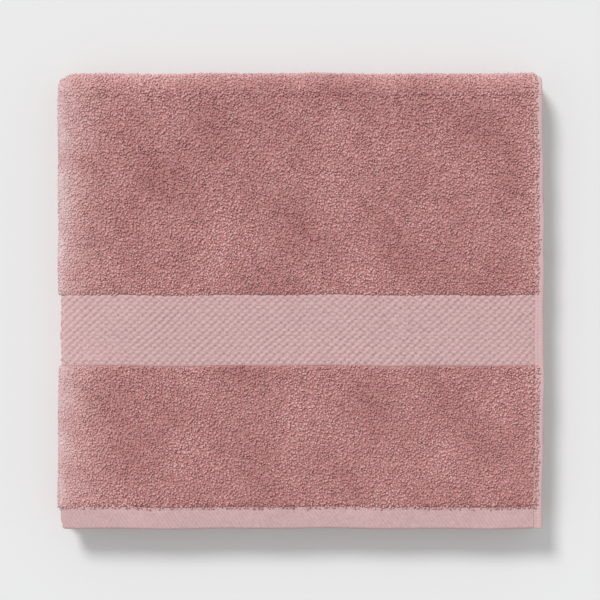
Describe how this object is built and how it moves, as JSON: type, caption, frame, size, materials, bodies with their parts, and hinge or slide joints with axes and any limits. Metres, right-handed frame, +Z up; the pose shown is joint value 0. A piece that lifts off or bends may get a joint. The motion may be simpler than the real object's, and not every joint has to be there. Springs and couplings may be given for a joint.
{
  "type": "folded bath towel",
  "caption": "Terry bath towel folded into a flat stack for the shelf, with a woven border and hemmed ends; the upper half opens about its back fold.",
  "frame": {"origin": "centre of the folded towel's underside", "axes": "+X across the towel towards the side hems, +Y towards the back fold, +Z up; both end hems lie at -Y and the side fold at -X"},
  "size_m": [0.3818, 0.36, 0.0358],
  "materials": {
    "terry": "dusty rose cotton terry, a looped pile on both faces",
    "border": "flat woven cotton border with small slanted lozenges, paler than the pile",
    "end_hem": "flat fine twill, turned under and sewn",
    "side_hem": "flat cotton edge, turned under and sewn",
    "thread": "sewing thread",
    "label": "blank woven tape"
  },
  "bodies": {
    "lower_half": {"bottom_panel": "terry", "bottom_side_hems": "side_hem", "middle_panel": "terry", "middle_side_hems": "side_hem", "front_fold": "terry", "front_fold_side_hems": "side_hem", "back_fold_lower": "terry", "back_fold_lower_side_hems": "side_hem", "lower_side_seams": "thread"},
    "upper_half": {"second_panel": "terry", "second_border": "border", "second_end_terry": "terry", "second_end_hem": "end_hem", "second_side_hems": "side_hem", "second_hem_seam": "thread", "top_panel": "terry", "top_border": "border", "top_end_terry": "terry", "top_end_hem": "end_hem", "top_side_hems": "side_hem", "top_hem_seam": "thread", "back_fold_upper": "terry", "back_fold_upper_side_hems": "side_hem", "upper_side_seams": "thread", "care_label": "label"}
  },
  "joints": [
    {"name": "back_fold_opening", "type": "hinge", "parent": "lower_half", "child": "upper_half", "pos_m": [0, 0.16207, 0.0179], "axis": [-1, 0, 0], "range_deg": [0, 179.5], "deforming": ["back_fold_lower", "back_fold_lower_side_hems", "back_fold_upper", "back_fold_upper_side_hems"]}
  ]
}
